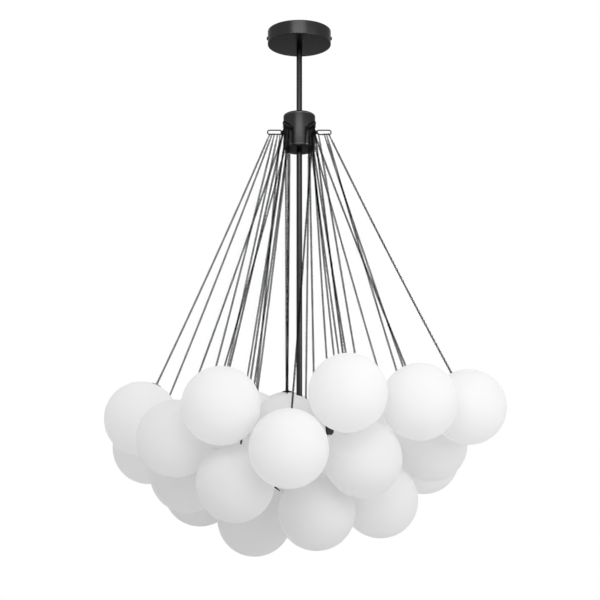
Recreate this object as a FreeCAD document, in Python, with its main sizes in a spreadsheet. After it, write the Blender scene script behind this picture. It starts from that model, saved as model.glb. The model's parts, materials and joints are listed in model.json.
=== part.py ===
import FreeCAD, Part
import math
import os
import Sketcher
from FreeCAD import Placement, Rotation, Vector

# Globe chandelier: a canopy and a stem carry a drum with six wire hooks. Twenty-nine glass globes hang
# on chains from the hooks, and one hangs under the lamp carrier at the stem's end.
# Row frame: millimetres, origin at the centre of the ceiling face, +Z up, the front towards -Y.

os.makedirs("parts", exist_ok=True)
doc = FreeCAD.newDocument("GlobeChandelier")
sheet = doc.addObject("Spreadsheet::Sheet", "Sizes")

SIZES = [
    ("canopy_diameter", 134, "outside of the cup against the ceiling"),
    ("canopy_depth", 31, "ceiling to the underside of the cup"),
    ("canopy_wall", 1.5, "sheet of the cup"),
    ("canopy_edge", 2, "rounding of the cup's lower edge"),
    ("ear_gap", 3.5, "each ear of the bracket to the side of the cup"),
    ("bracket_width", 20, "strip that the bracket is bent from"),
    ("bracket_sheet", 2, "thickness of the strip"),
    ("plate_length", 76, "over the two risers"),
    ("plate_drop", 15, "ceiling to the top of the middle plate"),
    ("ear_height", 20, "ceiling to the end of an ear"),
    ("slot_length", 12, "a slot from end to end"),
    ("slot_width", 5, "across a slot"),
    ("nipple_diameter", 10, "threaded tube through the bracket"),
    ("nipple_bore", 7.4, "cable way in the threaded tube"),
    ("nipple_length", 26, "the threaded tube from end to end"),
    ("nipple_rise", 3.5, "how far it stands above the middle plate"),
    ("nut_across", 14, "nuts on the threaded tube, across the flats"),
    ("nut_height", 3, "thickness of such a nut"),
    ("thread_gap", 0.05, "radial clearance of a thread or a push fit"),
    ("screw_thread", 4, "canopy, earth and collar screws"),
    ("screw_head", 7, "their heads"),
    ("screw_head_height", 2.2, "height of a head"),
    ("screw_tail", 4, "how far a screw runs past what it is tapped into"),
    ("earth_offset", 24, "earth screw from the middle of the plate"),
    ("block_length", 20, "terminal block along the bracket"),
    ("block_width", 16, "across the bracket"),
    ("block_height", 11, "above the plate"),
    ("block_gap", 1, "terminal block to the riser beside it"),
    ("pole_pitch", 5, "between the three poles"),
    ("pole_bore", 3, "wire way of a pole"),
    ("pole_well", 3.4, "screw well of a pole"),
    ("pole_well_depth", 5, "depth of a well"),
    ("cable_diameter", 4, "cable in the stem"),
    ("cable_rise", 6.5, "plate to the cable's line where it enters the block"),
    ("cable_bend", 5, "radius of the cable's bend into the stem"),
    ("cable_reach", 3, "how far the cable runs into the lamp carrier"),
    ("stem_diameter", 12, "outside of the stem"),
    ("stem_bore", 10.1, "inside of the stem"),
    ("stem_play", 0.3, "gap between the stem and the canopy's hole"),
    ("hub_diameter", 67, "drum that carries the hooks"),
    ("hub_height", 69, "straight side of the drum"),
    ("hub_wall", 2.5, "tube wall of the drum"),
    ("hub_shoulder", 34, "top of the straight side above the hooks"),
    ("cap_rise", 6, "height of a drum end"),
    ("cap_round", 5.5, "rounding of a drum end"),
    ("cap_spigot", 4, "part of an end that sits in the drum"),
    ("collar_diameter", 24, "clamp ring inside the drum"),
    ("collar_height", 12, "height of the clamp ring"),
    ("hook_level", 226, "ceiling to the middle of the hooks"),
    ("hook_turn", 0, "degrees that the first hook stands off +X"),
    ("hook_reach", 68, "stem axis to the outer end of a hook"),
    ("hook_height", 12, "a hook from top to bottom"),
    ("hook_length", 33.5, "a hook's loop from end to end"),
    ("hook_wire", 2.6, "wire of the hook"),
    ("shank_diameter", 3, "threaded end of a hook"),
    ("shank_end", 26, "stem axis to the inner end of the shank"),
    ("shank_nut_across", 5.5, "nut on the shank"),
    ("shank_nut_height", 2.4, "thickness of that nut"),
    ("shank_nut_inset", 0.25, "nut's face inside the drum's curved wall, so that its corners clear it"),
    ("ring_pitch", 4.8, "between two rings that hang side by side"),
    ("ring_start", 40.5, "stem axis to the innermost ring"),
    ("ring_end", 62, "stem axis to the outermost ring"),
    ("ring_wire", 1.2, "wire of the ring that hangs on the hook"),
    ("ring_diameter", 8, "outside of that ring"),
    ("ring_hang", 0.7, "hook wire's middle to the ring's middle"),
    ("chain_diameter", 3, "width of the chain"),
    ("chain_gap", 0.2, "chain to its ring and to its globe's eye"),
    ("globe_diameter", 150, "outside of a globe"),
    ("globe_wall", 2, "glass of a globe"),
    ("globe_gap", 2, "least distance between two globes at rest"),
    ("chain_room", 2, "least distance between a globe and another globe's chain"),
    ("neck_diameter", 18, "hole at the top of a globe"),
    ("neck_gap", 0.4, "globe hole to the cap's plug"),
    ("globe_cap_diameter", 22, "metal cap on the hole"),
    ("globe_cap_sheet", 1.2, "its thickness"),
    ("plug_depth", 3, "the part of the cap inside the hole"),
    ("bar_length", 30, "spring bar that holds the globe from inside"),
    ("bar_wire", 2, "wire of the spring bar"),
    ("bar_gap", 0.2, "spring bar to the glass"),
    ("eye_diameter", 6.6, "eye on the cap"),
    ("eye_wire", 1.4, "wire of the eye"),
    ("carrier_level", 835, "ceiling to the top of the lamp carrier"),
    ("carrier_diameter", 44, "lamp carrier"),
    ("carrier_height", 16, "its cup"),
    ("carrier_roof", 8, "solid top of the cup, tapped for the stem"),
    ("carrier_wall", 2.5, "side of the cup"),
    ("carrier_plate_sheet", 2, "plate that closes the cup"),
    ("arm_width", 8, "arm of that plate"),
    ("holder_circle", 122, "circle of the lampholders' middles"),
    ("holder_diameter", 18, "lampholder"),
    ("holder_height", 20, "lampholder"),
    ("holder_socket", 13, "recess for the lamp"),
    ("holder_socket_depth", 8, "depth of the recess"),
    ("wire_hole", 5, "wire way in the plate above each lampholder"),
    ("capsule_diameter", 11, "glass lamp"),
    ("capsule_length", 36, "glass lamp from end to end"),
    ("hanger_level", 910, "ceiling to the wire that the middle globe hangs on"),
    ("hanger_rod", 6, "rod under the carrier"),
    ("hanger_stud", 4, "threaded top of the rod"),
    ("hanger_eye", 11, "eye at the rod's end, outside"),
    ("hanger_wire", 2.2, "wire of that eye"),
    ("hanger_nut_across", 7, "nut on the rod's stud"),
    ("hanger_nut_height", 3, "thickness of that nut"),
    ("overrun", 1, "how far a cutting tool runs past a face"),
    ("cluster_keep_out", 30, "stem axis to the space round the carrier that no globe enters"),
]
HOOKS = 6
RINGS = 5
INNER_RINGS = 2
LAMPS = 4
POLES = 3

for row, (alias, value, meaning) in enumerate(SIZES, start=1):
    sheet.set("A%d" % row, alias)
    sheet.set("B%d" % row, str(value))
    sheet.set("C%d" % row, meaning)
    sheet.setAlias("B%d" % row, alias)
doc.recompute()


class Length:
    """A length that knows its number and the sheet expression that gives it."""

    def __init__(self, number, text):
        self.number = float(number)
        self.text = text

    def join(self, other, sign, number):
        return Length(number, "(%s %s %s)" % (self.text, sign, as_length(other).text))

    def __add__(self, other):
        return self.join(other, "+", self.number + as_length(other).number)

    def __sub__(self, other):
        return self.join(other, "-", self.number - as_length(other).number)

    def __mul__(self, factor):
        return self.join(factor, "*", self.number * factor)

    def __truediv__(self, factor):
        return self.join(factor, "/", self.number / factor)

    def __neg__(self):
        return Length(-self.number, "(0 - %s)" % self.text)


def as_length(value):
    """Takes a plain number as a length too."""
    return value if isinstance(value, Length) else Length(value, "%s" % value)


class Named:
    """Gives each size of the sheet by its name."""

    def __getattr__(self, alias):
        return Length(sheet.get(alias), "Sizes." + alias)


size = Named()
ZERO = Length(0, "0")
UP = Vector(0, 0, 1)
ALONG_X = Rotation(Vector(0, 1, 0), 90)
SIN_60 = math.sin(math.radians(60))
NODES = {}


def bind(thing, **lengths):
    """Binds properties of a document object to sheet expressions."""
    for name, length in lengths.items():
        thing.setExpression(name, as_length(length).text)


def put(thing, x=ZERO, y=ZERO, z=ZERO, turn=None):
    """Places a document object, with its place bound to the sheet."""
    if turn is not None:
        thing.Placement = Placement(Vector(), turn)
    for axis, length in (("x", x), ("y", y), ("z", z)):
        thing.setExpression("Placement.Base." + axis, as_length(length).text)
    return thing


def cylinder(name, radius, height, x=ZERO, y=ZERO, z=ZERO, turn=None):
    """A cylinder that starts at x, y, z and runs up, or along its turned axis."""
    thing = doc.addObject("Part::Cylinder", name)
    bind(thing, Radius=radius, Height=height)
    return put(thing, x, y, z, turn)


def box(name, length, width, height, x, y, z):
    """A box whose lowest corner is at x, y, z."""
    thing = doc.addObject("Part::Box", name)
    bind(thing, Length=length, Width=width, Height=height)
    return put(thing, x, y, z)


def hexagon(name, across, height, z):
    """A hexagonal prism across the flats, standing at z on the stem's axis."""
    thing = doc.addObject("Part::Prism", name)
    thing.Polygon = 6
    bind(thing, Circumradius=across / (2 * SIN_60), Height=height)
    return put(thing, z=z)


def torus(name, ring, wire, x=ZERO, z=ZERO, turn=None, sweep=360):
    """A torus of ring radius and wire radius round its placed axis."""
    thing = doc.addObject("Part::Torus", name)
    bind(thing, Radius1=ring, Radius2=wire)
    thing.Angle3 = sweep
    return put(thing, x, ZERO, z, turn)


def fuse(name, parts):
    thing = doc.addObject("Part::MultiFuse", name)
    thing.Shapes = parts
    return thing


def cut(name, base, tools):
    thing = doc.addObject("Part::Cut", name)
    thing.Base = base
    thing.Tool = tools[0] if len(tools) == 1 else fuse(name + "_tools", tools)
    return thing


def node(name, thing):
    """Gives a finished sub-part the name that its file gets."""
    thing.Label = name
    NODES[name] = thing
    return thing


def solid_node(name, shape, place=None):
    """A sub-part whose shape is worked out in code."""
    thing = doc.addObject("Part::Feature", name)
    thing.Shape = shape
    thing.Placement = place or Placement()
    return node(name, thing)


def sketch_on(body, name, role, z=ZERO):
    """A sketch on one of the body's own origin planes, lifted by z."""
    sketch = body.newObject("Sketcher::SketchObject", name)
    plane = next(f for f in body.Origin.OriginFeatures if f.Role == role)
    sketch.AttachmentSupport = [(plane, "")]
    sketch.MapMode = "FlatFace"
    sketch.setExpression("AttachmentOffset.Base.z", as_length(z).text)
    return sketch


def hold(sketch, geometry, point, x, y):
    """Fixes a point of a sketch at x, y, measured from the sketch's origin."""
    for kind, length, axis in (("DistanceX", x, -2), ("DistanceY", y, -1)):
        length = as_length(length)
        if length.number == 0:
            sketch.addConstraint(Sketcher.Constraint("PointOnObject", geometry, point, axis))
            continue
        ends = (-1, 1, geometry, point) if length.number > 0 else (geometry, point, -1, 1)
        given = length if length.number > 0 else -length
        place = sketch.addConstraint(Sketcher.Constraint(kind, *ends, given.number))
        sketch.setExpression("Constraints[%d]" % place, given.text)


def circle_in(sketch, radius, x=ZERO, y=ZERO):
    """A circle of a sketch, with its middle and its radius bound."""
    centre = Vector(as_length(x).number, as_length(y).number, 0)
    ring = sketch.addGeometry(Part.Circle(centre, UP, radius.number), False)
    hold(sketch, ring, 3, x, y)
    place = sketch.addConstraint(Sketcher.Constraint("Radius", ring, radius.number))
    sketch.setExpression("Constraints[%d]" % place, radius.text)
    return sketch


def polygon_in(sketch, corners):
    """A closed outline of a sketch through the bound corners."""
    spots = [Vector(as_length(x).number, as_length(y).number, 0) for x, y in corners]
    count = len(spots)
    sides = [Part.LineSegment(spots[i], spots[(i + 1) % count]) for i in range(count)]
    lines = [sketch.addGeometry(side, False) for side in sides]
    for i in range(count):
        sketch.addConstraint(Sketcher.Constraint("Coincident", lines[i], 2, lines[(i + 1) % count], 1))
    for line, (x, y) in zip(lines, corners):
        hold(sketch, line, 1, x, y)
    return sketch


def pad(body, name, sketch, length, down=False, both_ways=False):
    thing = body.newObject("PartDesign::Pad", name)
    thing.Profile = sketch
    thing.Reversed = down
    thing.SideType = "Symmetric" if both_ways else "One side"
    bind(thing, Length=length)
    return thing


def pocket(body, name, sketch, length=None, up=False):
    """A pocket of one depth from its sketch, or through everything both ways without a depth."""
    thing = body.newObject("PartDesign::Pocket", name)
    thing.Profile = sketch
    if length is None:
        thing.Type = "ThroughAll"
        thing.SideType = "Symmetric"
    else:
        thing.Reversed = up
        bind(thing, Length=length)
    return thing


def round_edges(body, name, feature, radius, wanted):
    """Rounds the edges of a feature that the test picks out."""
    doc.recompute()
    names = ["Edge%d" % (i + 1) for i, edge in enumerate(feature.Shape.Edges) if wanted(edge)]
    thing = body.newObject("PartDesign::Fillet", name)
    thing.Base = (feature, names)
    bind(thing, Radius=radius)
    return thing


def at_level(level):
    """Picks the closed edges that lie at one height."""

    def test(edge):
        middle = (edge.BoundBox.ZMin + edge.BoundBox.ZMax) / 2
        return edge.isClosed() and abs(middle - level.number) < size.thread_gap.number

    return test


# Ceiling bracket, its screws and the electrical connection

plate_top = -size.plate_drop
plate_under = plate_top - size.bracket_sheet
tapped = size.screw_thread / 2 + size.thread_gap
screw_level = -(size.canopy_depth / 2)
ear_outside = size.canopy_diameter / 2 - size.canopy_wall - size.ear_gap
riser_outside = size.plate_length / 2
block_side = riser_outside - size.bracket_sheet - size.block_gap - size.block_length


def ceiling_bracket():
    """A crossbar bent from one strip: two feet on the ceiling, a dropped plate and two ears."""
    strip = size.bracket_sheet
    end = ear_outside
    riser = riser_outside
    body = doc.addObject("PartDesign::Body", "bracket_strip")
    right = [
        (riser - strip, plate_top), (riser - strip, ZERO), (end, ZERO), (end, -size.ear_height),
        (end - strip, -size.ear_height), (end - strip, -strip), (riser, -strip), (riser, plate_under),
    ]
    mirrored = [(-x, z) for x, z in reversed(right)]
    profile = polygon_in(sketch_on(body, "bracket_profile", "XZ_Plane"), right + mirrored)
    pad(body, "bracket_pad", profile, size.bracket_width, both_ways=True)
    through = strip + size.overrun * 2
    straight = size.slot_length - size.slot_width
    low = plate_under - size.overrun
    tools = [
        cylinder("nipple_hole", size.nipple_diameter / 2 + size.thread_gap, through, z=low),
        cylinder("earth_hole", tapped, through, size.earth_offset, z=low),
    ]
    for side in (1, -1):
        middle = (riser + end - strip) / 2 * side
        left_end, right_end = middle - straight / 2, middle + straight / 2
        foot = -strip - size.overrun
        half = size.slot_width / 2
        tools.append(box("slot_middle", straight, size.slot_width, through, left_end, -half, foot))
        tools.append(cylinder("slot_left_end", half, through, left_end, z=foot))
        tools.append(cylinder("slot_right_end", half, through, right_end, z=foot))
        inner = end * side - size.overrun if side < 0 else end - strip - size.overrun
        tools.append(cylinder("ear_hole", tapped, through, inner, z=screw_level, turn=ALONG_X))
    return node("ceiling_bracket", cut("bracket_cut", body, tools))


def nipple_and_nuts():
    """The threaded tube through the bracket's plate, with a nut above and a nut below."""
    top = plate_top + size.nipple_rise
    outer = size.nipple_diameter / 2
    tube = cylinder("nipple_outside", outer, size.nipple_length, z=top - size.nipple_length)
    way = cylinder("nipple_way", size.nipple_bore / 2, size.nipple_length, z=top - size.nipple_length)
    node("bracket_nipple", cut("nipple_tube", tube, [way]))
    nuts = []
    for name, level in (("upper", plate_top), ("lower", plate_under - size.nut_height)):
        blank = hexagon(name + "_nut_blank", size.nut_across, size.nut_height, level)
        thread = cylinder(name + "_nut_thread", outer + size.thread_gap, size.nut_height, z=level)
        nuts.append(cut(name + "_nut", blank, [thread]))
    group = doc.addObject("Part::Compound", "nut_pair")
    group.Links = nuts
    node("bracket_nuts", group)


def canopy_cup():
    """A drawn cup, open at the ceiling, with a hole for the stem and two holes for its screws."""
    body = doc.addObject("PartDesign::Body", "canopy_body")
    radius = size.canopy_diameter / 2
    disc = circle_in(sketch_on(body, "canopy_outside", "XY_Plane"), radius)
    blank = pad(body, "canopy_blank", disc, size.canopy_depth, down=True)
    round_edges(body, "canopy_rounding", blank, size.canopy_edge, at_level(-size.canopy_depth))
    inside = circle_in(sketch_on(body, "canopy_inside", "XY_Plane"), radius - size.canopy_wall)
    pocket(body, "canopy_hollow", inside, size.canopy_depth - size.canopy_wall)
    hole = circle_in(sketch_on(body, "stem_hole", "XY_Plane"), size.stem_diameter / 2 + size.stem_play)
    pocket(body, "canopy_stem_hole", hole)
    side = circle_in(sketch_on(body, "screw_hole", "YZ_Plane"), tapped, ZERO, screw_level)
    pocket(body, "canopy_screw_holes", side)
    return node("canopy_cup", body)


def screws():
    """Two screws through the canopy's side into the ears, and the earth screw in the plate."""
    thread = size.screw_thread / 2
    head = size.screw_head / 2
    outside = size.canopy_diameter / 2
    inner = ear_outside - size.bracket_sheet - size.screw_tail
    pair = []
    for side, name in ((1, "right"), (-1, "left")):
        shank_start = inner if side > 0 else -outside
        head_start = outside if side > 0 else -outside - size.screw_head_height
        shank = cylinder(name + "_shank", thread, outside - inner, shank_start, z=screw_level, turn=ALONG_X)
        knob = cylinder(name + "_head", head, size.screw_head_height, head_start, z=screw_level,
                        turn=ALONG_X)
        pair.append(fuse(name + "_screw", [shank, knob]))
    group = doc.addObject("Part::Compound", "screw_pair")
    group.Links = pair
    node("canopy_screws", group)
    low = plate_under - size.screw_tail
    shank = cylinder("earth_shank", thread, plate_top - low, size.earth_offset, z=low)
    knob = cylinder("earth_head", head, size.screw_head_height, size.earth_offset, z=plate_top)
    node("earth_screw", fuse("earth_screw_solid", [shank, knob]))


def terminal_block():
    """A moulded block on the plate, with a row of wire ways and a row of screw wells."""
    body = doc.addObject("PartDesign::Body", "terminal_body")
    half = size.block_width / 2
    corners = [(ZERO, -half), (size.block_length, -half), (size.block_length, half), (ZERO, half)]
    outline = polygon_in(sketch_on(body, "block_outline", "XY_Plane"), corners)
    pad(body, "block_pad", outline, size.block_height)
    first = -(size.pole_pitch * (POLES - 1) / 2)
    way = circle_in(sketch_on(body, "pole_way", "YZ_Plane"), size.pole_bore / 2, first, size.cable_rise)
    ways = pocket(body, "pole_ways", way, size.block_length, up=True)
    well = sketch_on(body, "pole_well", "XY_Plane", size.block_height)
    circle_in(well, size.pole_well / 2, size.block_length / 4, first)
    wells = pocket(body, "pole_wells", well, size.pole_well_depth)
    for name, feature in (("way_row", ways), ("well_row", wells)):
        row = body.newObject("PartDesign::LinearPattern", name)
        row.Originals = [feature]
        y_axis = next(f for f in body.Origin.OriginFeatures if f.Role == "Y_Axis")
        row.Direction = (y_axis, [""])
        row.Occurrences = POLES
        bind(row, Length=size.pole_pitch * (POLES - 1))
        body.Tip = row
    put(body, -(block_side + size.block_length), ZERO, plate_top)
    return node("terminal_block", body)


def supply_cable():
    """The cable leaves the block, turns down into the threaded tube and runs to the lamp carrier."""
    bend = size.cable_bend.number
    level = (plate_top + size.cable_rise).number
    end = -(size.carrier_level + size.carrier_roof + size.cable_reach).number
    start = Vector(-block_side.number, 0, level)
    over = Vector(-bend, 0, level)
    down = Vector(0, 0, level - bend)
    slant = math.sqrt(0.5)
    middle = Vector(-bend + bend * slant, 0, level - bend + bend * slant)
    route = Part.Wire([
        Part.LineSegment(start, over).toShape(),
        Part.Arc(over, middle, down).toShape(),
        Part.LineSegment(down, Vector(0, 0, end)).toShape(),
    ])
    section = Part.Wire([Part.Circle(start, Vector(1, 0, 0), size.cable_diameter.number / 2).toShape()])
    return solid_node("supply_cable", route.makePipeShell([section], True, False))


# Stem, drum and hooks

hook_bar = -(size.hook_level + (size.hook_height - size.hook_wire) / 2)
drum_top = -(size.hook_level - size.hub_shoulder)
drum_foot = drum_top - size.hub_height
stem_slide = size.stem_diameter / 2 + size.thread_gap


def stem_tube():
    """One straight tube from the bracket's lower nut into the lamp carrier."""
    top = plate_under - size.nut_height
    foot = -(size.carrier_level + size.carrier_roof)
    outside = cylinder("stem_outside", size.stem_diameter / 2, top - foot, z=foot)
    inside = cylinder("stem_inside", size.stem_bore / 2, top - foot, z=foot)
    return node("stem_tube", cut("stem_cut", outside, [inside]))


def drum():
    """The drum's tube wall, drilled for the six shanks, and its two rounded ends."""
    radius = size.hub_diameter / 2
    inner = radius - size.hub_wall
    outside = cylinder("drum_outside", radius, size.hub_height, z=drum_foot)
    inside = cylinder("drum_inside", inner, size.hub_height, z=drum_foot)
    reach = size.hub_wall * 3
    drills = []
    for turn in hook_turns():
        radial = Rotation(UP, turn) * ALONG_X
        drill = cylinder("shank_drill", size.shank_diameter / 2 + size.thread_gap, reach, turn=radial)
        heading = Vector(math.cos(math.radians(turn)), math.sin(math.radians(turn)), 0)
        start = inner - size.hub_wall
        put(drill, start * heading.x, start * heading.y, -size.hook_level, radial)
        drills.append(drill)
    node("hub_body", cut("drum_wall", outside, [inside] + drills))
    for name, level, down in (("hub_top_cap", drum_top, False), ("hub_bottom_cap", drum_foot, True)):
        body = doc.addObject("PartDesign::Body", name + "_body")
        rim = circle_in(sketch_on(body, name + "_rim", "XY_Plane", level), radius)
        dome = pad(body, name + "_dome", rim, size.cap_rise, down=down)
        crown = level - size.cap_rise if down else level + size.cap_rise
        round_edges(body, name + "_rounding", dome, size.cap_round, at_level(crown))
        spigot = circle_in(sketch_on(body, name + "_spigot", "XY_Plane", level), inner - size.thread_gap)
        pad(body, name + "_plug", spigot, size.cap_spigot, down=not down)
        bore = circle_in(sketch_on(body, name + "_bore", "XY_Plane", level), stem_slide)
        pocket(body, name + "_stem_hole", bore)
        node(name, body)


def drum_clamp():
    """The ring that clamps the stem under the drum's top end, and its two set screws."""
    top = drum_top - size.cap_spigot
    foot = top - size.collar_height
    ring = cylinder("collar_outside", size.collar_diameter / 2, size.collar_height, z=foot)
    bore = cylinder("collar_bore", stem_slide, size.collar_height, z=foot)
    middle = foot + size.collar_height / 2
    length = size.collar_diameter / 2 - stem_slide + size.overrun
    thread = cylinder("collar_thread", tapped, size.collar_diameter + size.overrun * 2,
                      -(size.collar_diameter / 2) - size.overrun, z=middle, turn=ALONG_X)
    node("hub_collar", cut("collar_cut", ring, [bore, thread]))
    pair = []
    for name, start in (("right", stem_slide), ("left", -stem_slide - length)):
        screw = cylinder(name + "_set_screw", size.screw_thread / 2, length, start, z=middle, turn=ALONG_X)
        pair.append(screw)
    group = doc.addObject("Part::Compound", "set_screw_pair")
    group.Links = pair
    node("collar_screws", group)


def hook_turns():
    """The compass angle of each hook, from +X."""
    return [size.hook_turn.number + 360 / HOOKS * place for place in range(HOOKS)]


def round_the_stem(shape):
    """One copy of a shape for each hook, as one group."""
    copies = []
    for turn in hook_turns():
        copy = shape.copy()
        copy.Placement = Placement(Vector(), Rotation(UP, turn)) * shape.Placement
        copies.append(copy)
    return Part.makeCompound(copies)


def hooks():
    """Six closed wire loops that stand on edge, each with a threaded shank and a nut in the drum."""
    wire = size.hook_wire / 2
    bend = (size.hook_height - size.hook_wire) / 2
    outer = size.hook_reach - size.hook_height / 2
    inner = size.hook_reach - size.hook_length + size.hook_height / 2
    edge_on = Rotation(Vector(1, 0, 0), 90)
    parts = [
        torus("loop_outer_bend", bend, wire, outer, -size.hook_level, edge_on * Rotation(UP, -90), 180),
        torus("loop_inner_bend", bend, wire, inner, -size.hook_level, edge_on * Rotation(UP, 90), 180),
        cylinder("loop_top_bar", wire, outer - inner, inner, z=-size.hook_level + bend, turn=ALONG_X),
        cylinder("loop_lower_bar", wire, outer - inner, inner, z=-size.hook_level - bend, turn=ALONG_X),
        cylinder("loop_shank", size.shank_diameter / 2, inner - bend - size.shank_end, size.shank_end,
                 z=-size.hook_level, turn=ALONG_X),
    ]
    loop = fuse("hook_loop", parts)
    nut = doc.addObject("Part::Prism", "shank_nut_blank")
    nut.Polygon = 6
    bind(nut, Circumradius=size.shank_nut_across / (2 * SIN_60), Height=size.shank_nut_height)
    seat = size.hub_diameter / 2 - size.hub_wall - size.shank_nut_height - size.shank_nut_inset
    put(nut, seat, ZERO, -size.hook_level, ALONG_X)
    thread = cylinder("shank_nut_thread", size.shank_diameter / 2 + size.thread_gap, size.shank_nut_height,
                      seat, z=-size.hook_level, turn=ALONG_X)
    ringed = cut("shank_nut", nut, [thread])
    doc.recompute()
    solid_node("hook_loops", round_the_stem(loop.Shape))
    solid_node("hook_nuts", round_the_stem(ringed.Shape))


# Lamp carrier at the stem's end

plate_level = -(size.carrier_level + size.carrier_height)
holder_top = plate_level - size.carrier_plate_sheet


def lamp_carrier():
    """A cup on the stem's end, closed below by a plate with four arms, each with a round end."""
    radius = size.carrier_diameter / 2
    cup = cylinder("carrier_outside", radius, size.carrier_height, z=plate_level)
    hollow = cylinder("carrier_hollow", radius - size.carrier_wall, size.carrier_height - size.carrier_roof,
                      z=plate_level)
    roof_under = -(size.carrier_level + size.carrier_roof)
    bore = cylinder("carrier_bore", stem_slide, size.carrier_roof, z=roof_under)
    node("lamp_carrier", cut("carrier_cup", cup, [hollow, bore]))
    body = doc.addObject("PartDesign::Body", "carrier_plate_body")
    disc = circle_in(sketch_on(body, "plate_disc", "XY_Plane", plate_level), radius)
    pad(body, "plate_pad", disc, size.carrier_plate_sheet, down=True)
    start, place, half = radius - size.carrier_wall, size.holder_circle / 2, size.arm_width / 2
    strip = sketch_on(body, "arm_strip", "XY_Plane", plate_level)
    polygon_in(strip, [(start, -half), (place, -half), (place, half), (start, half)])
    arm = pad(body, "plate_arm", strip, size.carrier_plate_sheet, down=True)
    disc = circle_in(sketch_on(body, "arm_disc", "XY_Plane", plate_level), size.holder_diameter / 2, place)
    arm_end = pad(body, "plate_arm_end", disc, size.carrier_plate_sheet, down=True)
    stud_way = size.hanger_stud / 2 + size.thread_gap
    stud = circle_in(sketch_on(body, "plate_stud", "XY_Plane", plate_level), stud_way)
    pocket(body, "plate_stud_hole", stud)
    way = sketch_on(body, "plate_way", "XY_Plane", plate_level)
    circle_in(way, size.wire_hole / 2, place)
    first = pocket(body, "plate_wire_way", way)
    ring = body.newObject("PartDesign::PolarPattern", "plate_arms")
    ring.Originals = [arm, arm_end, first]
    ring.Axis = (next(f for f in body.Origin.OriginFeatures if f.Role == "Z_Axis"), [""])
    ring.Angle = 360
    ring.Occurrences = LAMPS
    body.Tip = ring
    node("carrier_plate", body)


def lamp_turns():
    """The compass angle of each lamp, from +X."""
    return [360 / LAMPS * place for place in range(LAMPS)]


def lamps():
    """A lampholder under the end of each arm, and a capsule lamp in the socket of each."""
    middle = size.holder_circle / 2
    foot = holder_top - size.holder_height
    shell = cylinder("holder_outside", size.holder_diameter / 2, size.holder_height, middle, z=foot)
    socket = cylinder("holder_recess", size.holder_socket / 2, size.holder_socket_depth, middle, z=foot)
    holder = cut("lampholder", shell, [socket])
    radius = size.capsule_diameter / 2
    base = foot + size.holder_socket_depth
    straight = size.capsule_length - radius
    barrel = cylinder("capsule_barrel", radius, straight, middle, z=base - straight)
    tip = doc.addObject("Part::Sphere", "capsule_tip")
    bind(tip, Radius=radius)
    put(tip, middle, ZERO, base - straight)
    capsule = fuse("lamp_capsule", [barrel, tip])
    doc.recompute()
    for name, source in (("lampholders", holder), ("lamp_capsules", capsule)):
        copies = []
        for turn in lamp_turns():
            copy = source.Shape.copy()
            copy.Placement = Placement(Vector(), Rotation(UP, turn)) * source.Shape.Placement
            copies.append(copy)
        solid_node(name, Part.makeCompound(copies))


def centre_hanger():
    """A rod under the carrier with an eye for the middle globe, and its nut inside the cup."""
    ring = (size.hanger_eye - size.hanger_wire) / 2
    eye_middle = -size.hanger_level + ring
    nut_top = plate_level + size.hanger_nut_height
    rod_foot = eye_middle + ring
    rod = cylinder("hanger_rod_bar", size.hanger_rod / 2, holder_top - rod_foot, z=rod_foot)
    stud = cylinder("hanger_stud_bar", size.hanger_stud / 2, nut_top - holder_top, z=holder_top)
    heading = math.degrees(math.atan2(MIDDLE_SHARES[4], MIDDLE_SHARES[3]))
    turn = Rotation(UP, heading) * Rotation(Vector(1, 0, 0), 90)
    eye = torus("hanger_eye_ring", ring, size.hanger_wire / 2, z=eye_middle, turn=turn)
    node("centre_hanger", fuse("centre_hanger_solid", [rod, stud, eye]))
    blank = hexagon("hanger_nut_blank", size.hanger_nut_across, size.hanger_nut_height, plate_level)
    thread = cylinder("hanger_nut_thread", size.hanger_stud / 2 + size.thread_gap, size.hanger_nut_height,
                      z=plate_level)
    node("hanger_nut", cut("hanger_nut_cut", blank, [thread]))


# Globes, chains and caps
# Each globe has its hook, its place on the hook counted from the drum, and the place that it hangs
# near: x and y from the stem and the drop below the hooks, as shares of the globes' spacing.

RIM_SHARES = [
    ("rim_01", 1, 4, 1.38, 1.86, 3.85),
    ("rim_02", 1, 3, 0.47, 2.27, 3.75),
    ("rim_03", 2, 3, -0.18, 2.30, 4.62),
    ("rim_04", 2, 4, -0.88, 2.17, 3.80),
    ("rim_05", 3, 3, -2.05, 0.89, 4.25),
    ("rim_06", 3, 4, -2.10, -0.09, 4.05),
    ("rim_07", 4, 3, -1.57, -1.34, 4.57),
    ("rim_08", 4, 4, -0.97, -2.10, 4.31),
    ("rim_09", 5, 3, -0.13, -2.30, 4.89),
    ("rim_10", 5, 4, 0.60, -2.24, 4.18),
    ("rim_11", 5, 2, 1.53, -1.45, 4.12),
    ("rim_12", 0, 4, 2.20, -0.72, 4.03),
]
NESTED_SHARES = [
    ("nested_01", 0, 2, 1.75, 0.11, 4.36),
    ("nested_02", 0, 3, 1.70, 1.11, 4.34),
    ("nested_03", 1, 1, 0.66, 0.94, 3.95),
    ("nested_04", 3, 1, -1.32, 0.61, 4.88),
    ("nested_05", 3, 2, -1.45, -0.38, 4.86),
    ("nested_06", 4, 2, -0.80, -1.63, 5.20),
    ("nested_07", 4, 1, -0.16, -1.32, 4.49),
    ("nested_08", 5, 0, 0.22, -0.98, 5.45),
    ("nested_09", 5, 1, 0.80, -1.55, 4.87),
    ("nested_10", 0, 0, 1.05, -0.47, 5.21),
]
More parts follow.
